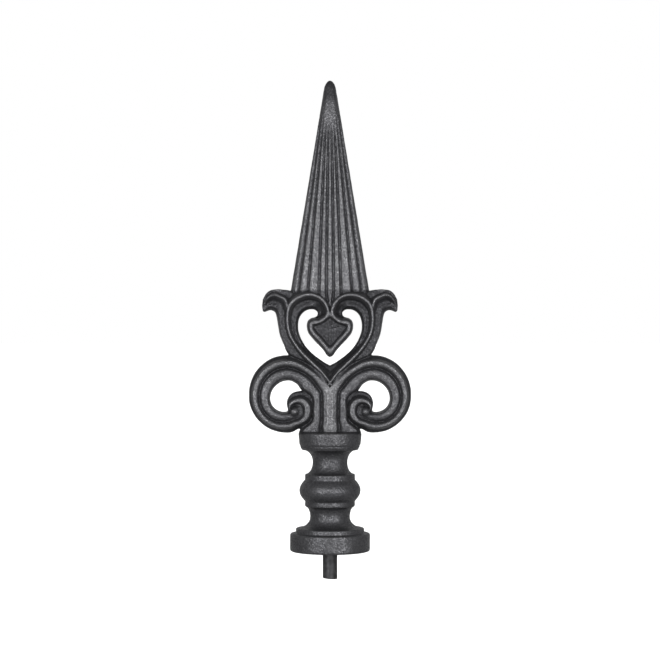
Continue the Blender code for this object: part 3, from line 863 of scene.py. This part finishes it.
def pin():
    """The drawn bar, with a softened rim and a torn face where it was sheared."""
    levels = [(1.0, z) for z in np.linspace(PIN_TOP, PIN_RIM - PIN_EXPOSED, PIN_LOOPS)]
    for angle in np.linspace(0.2, math.pi / 2, PIN_RIM_LOOPS):
        levels.append((1 - PIN_RIM / PIN_RADIUS * (1 - math.cos(angle)),
                       PIN_RIM * (1 - math.sin(angle)) - PIN_EXPOSED))
    levels += [(share, -PIN_EXPOSED)
               for share in np.linspace(PIN_FACE_STARTS, PIN_FACE_ENDS, PIN_FACE_LOOPS)]
    loops = []
    for share, z in levels:
        loop = []
        for turn in np.linspace(0, 2 * math.pi, PIN_SIDES + 1)[:-1]:
            x = math.cos(turn) * share
            y = math.sin(turn) * share
            wave = noise.noise(Vector((x * 3, y * 3, z * 500)))
            reach = PIN_RADIUS - PIN_WAVE * (1 + wave)
            lift = SHEAR_SLOPE * PIN_RADIUS * (1 - x) * max(0.0, -z / PIN_EXPOSED)
            if share < 0.95:
                torn = noise.noise(Vector((x * 9, y * 3, 4.0)))
                lift += PIN_TEAR * (1 + torn) * min(1.0, max(0.1, 0.5 + 2 * x))
            loop.append((x * reach, y * reach, z + lift))
        loops.append(loop)
    obj = mesh_object("pin_skin", *tube(loops))
    obj.data.shade_smooth()
    obj.data.materials.append(bar_steel())
    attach(obj, "root")
    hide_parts("fixing_pin")


def material(name, metallic):
    """A new material, its node tree and its shader."""
    mat = bpy.data.materials.new(name)
    mat.use_nodes = True
    shader = mat.node_tree.nodes["Principled BSDF"]
    shader.inputs["Metallic"].default_value = metallic
    return mat, mat.node_tree, shader


def speckle(tree, place, scale, detail, roughness):
    """The value of a fine noise at a place."""
    made = tree.nodes.new("ShaderNodeTexNoise")
    made.inputs["Scale"].default_value = scale
    made.inputs["Detail"].default_value = detail
    made.inputs["Roughness"].default_value = roughness
    tree.links.new(place, made.inputs["Vector"])
    return made.outputs["Fac"]


def bump(tree, height, strength, distance, normal=None):
    """A normal raised by a height, on top of another normal if one is given."""
    made = tree.nodes.new("ShaderNodeBump")
    made.inputs["Strength"].default_value = strength
    made.inputs["Distance"].default_value = distance
    tree.links.new(height, made.inputs["Height"])
    if normal:
        tree.links.new(normal, made.inputs["Normal"])
    return made.outputs["Normal"]


def grey(level):
    """A neutral colour, or a plain value for a ramp."""
    return (level, level, level)


def ramp(tree, source, stops):
    """A colour ramp fed by a socket, with (place, colour) stops."""
    made = tree.nodes.new("ShaderNodeValToRGB")
    elements = made.color_ramp.elements
    while len(elements) < len(stops):
        elements.new(0.5)
    for element, (place, colour) in zip(elements, stops):
        element.position = place
        element.color = (*colour, 1.0)
    tree.links.new(source, made.inputs["Fac"])
    return made.outputs["Color"]


def multiply(tree, first, second):
    """The product of two colour sockets."""
    mix = tree.nodes.new("ShaderNodeMix")
    mix.data_type = "RGBA"
    mix.blend_type = "MULTIPLY"
    mix.inputs["Factor"].default_value = 1.0
    tree.links.new(first, mix.inputs[6])
    tree.links.new(second, mix.inputs[7])
    return mix.outputs[2]


def cast_iron():
    """Dark graphite grey iron: grainy, with painted shade in the hollows and a painted highlight
    on the beads.
    """
    mat, tree, shader = material("sand_cast_iron", metallic=0.85)
    place = tree.nodes.new("ShaderNodeTexCoord").outputs["Object"]
    broad = speckle(tree, place, scale=45, detail=4, roughness=0.6)
    fine = speckle(tree, place, scale=780, detail=3, roughness=0.6)
    grit = speckle(tree, place, scale=2300, detail=2, roughness=0.6)
    relief = tree.nodes.new("ShaderNodeAttribute")
    relief.attribute_name = "relief"
    # Painted shade in hollows and creases, and painted highlight on beads and steep flanks, from
    # the stored tone
    hollow = ramp(tree, relief.outputs["Fac"],
                  ((0.0, (0.32, 0.32, 0.33)), (0.25, (0.42, 0.42, 0.43)),
                   (0.50, (0.70, 0.70, 0.71)), (0.85, (1.34, 1.34, 1.33))))
    colour = ramp(tree, broad, ((0.30, (0.090, 0.090, 0.095)), (0.75, (0.125, 0.125, 0.130))))
    tint = ramp(tree, fine, ((0.40, (0.76, 0.76, 0.77)), (0.62, grey(1.27))))
    tree.links.new(multiply(tree, multiply(tree, colour, tint), hollow),
                   shader.inputs["Base Color"])
    rough = ramp(tree, fine, ((0.38, grey(0.54)), (0.64, grey(0.26))))
    tree.links.new(rough, shader.inputs["Roughness"])
    normal = bump(tree, broad, strength=0.25, distance=0.6 * MM)
    normal = bump(tree, fine, strength=0.60, distance=0.55 * MM, normal=normal)
    normal = bump(tree, grit, strength=0.60, distance=0.16 * MM, normal=normal)
    tree.links.new(normal, shader.inputs["Normal"])
    return mat


def bar_steel():
    """Dark drawn bar: faint spots, and fine marks along its length."""
    mat, tree, shader = material("dark_drawn_bar", metallic=0.7)
    place = tree.nodes.new("ShaderNodeTexCoord").outputs["Object"]
    stretch = tree.nodes.new("ShaderNodeMapping")
    stretch.inputs["Scale"].default_value = (1.0, 1.0, 0.06)
    tree.links.new(place, stretch.inputs["Vector"])
    draw = speckle(tree, stretch.outputs["Vector"], scale=1800, detail=3, roughness=0.5)
    spots = speckle(tree, place, scale=350, detail=4, roughness=0.5)
    colour = ramp(tree, spots, ((0.35, (0.034, 0.034, 0.036)), (0.65, (0.064, 0.064, 0.067))))
    tree.links.new(colour, shader.inputs["Base Color"])
    rough = ramp(tree, draw, ((0.3, grey(0.44)), (0.7, grey(0.52))))
    tree.links.new(rough, shader.inputs["Roughness"])
    normal = bump(tree, draw, strength=0.25, distance=0.02 * MM)
    tree.links.new(normal, shader.inputs["Normal"])
    return mat


def pale_floor():
    """Plain, pale and dull."""
    mat, _, shader = material("pale_floor", metallic=0.0)
    shader.inputs["Base Color"].default_value = (*PALE_COLOUR, 1.0)
    shader.inputs["Roughness"].default_value = PALE_ROUGHNESS
    return mat


def look_level(obj):
    """Turns a camera or light to the middle of the frame."""
    direction = Vector((0.0, 0.0, CAMERA_HEIGHT)) - obj.location
    obj.rotation_euler = direction.to_track_quat("-Z", "Y").to_euler()


def camera():
    """The photograph's own view, square on to the front."""
    data = bpy.data.cameras.new("camera")
    data.sensor_width = SENSOR_WIDTH
    data.lens = SENSOR_WIDTH * CAMERA_DISTANCE / (FRAME_PIXELS * PIXEL)
    obj = bpy.data.objects.new("camera", data)
    obj.location = (0.0, -CAMERA_DISTANCE, CAMERA_HEIGHT)
    bpy.context.collection.objects.link(obj)
    look_level(obj)
    bpy.context.scene.camera = obj


def soft_light(side):
    """A large soft light in front, on one side."""
    name = f"soft_light_{side}"
    data = bpy.data.lights.new(name, "AREA")
    data.shape = "RECTANGLE"
    data.size = LIGHT_WIDTH
    data.size_y = LIGHT_TALL
    data.energy = LIGHT_WATTS
    obj = bpy.data.objects.new(name, data)
    angle = math.radians(side * LIGHT_AZIMUTH)
    obj.location = (LIGHT_DISTANCE * math.sin(angle), -LIGHT_DISTANCE * math.cos(angle),
                    LIGHT_HEIGHT)
    bpy.context.collection.objects.link(obj)
    look_level(obj)


def lit_floor():
    """A plain white floor with an even light that falls on it alone."""
    corners = ((-1, -1), (1, -1), (1, 1), (-1, 1))
    points = [(x * FLOOR_REACH, y * FLOOR_REACH, FLOOR) for x, y in corners]
    floor = mesh_object("floor", points, [(0, 1, 2, 3)])
    floor.data.materials.append(pale_floor())
    floor.visible_diffuse = False
    floor.visible_glossy = False
    lit = bpy.data.collections.new("lit_floor")
    lit.objects.link(floor)
    overhead = bpy.data.lights.new("floor_light", "SUN")
    overhead.energy = FLOOR_SUN
    overhead.use_shadow = False
    lamp = bpy.data.objects.new("floor_light", overhead)
    bpy.context.collection.objects.link(lamp)
    lamp.light_linking.receiver_collection = lit


def studio():
    """Two soft front lights, faint light all round, a white surround and a white floor."""
    lit_floor()
    surround()
    for side in (-1, 1):
        soft_light(side)
    bpy.context.scene.view_settings.view_transform = "Standard"


def surround():
    """White behind the object, but only faint light from it, so the edges stay dark."""
    world = bpy.data.worlds.new("studio")
    bpy.context.scene.world = world
    world.use_nodes = True
    tree = world.node_tree
    background = tree.nodes["Background"]
    background.inputs["Color"].default_value = (1.0, 1.0, 1.0, 1.0)
    seen = tree.nodes.new("ShaderNodeLightPath").outputs["Is Camera Ray"]
    strength = tree.nodes.new("ShaderNodeMapRange")
    strength.inputs["To Min"].default_value = AMBIENT
    strength.inputs["To Max"].default_value = 1.0
    tree.links.new(seen, strength.inputs["Value"])
    tree.links.new(strength.outputs["Result"], background.inputs["Strength"])


def main():
    """Builds both skins, the view and the light."""
    casting()
    pin()
    camera()
    studio()


main()
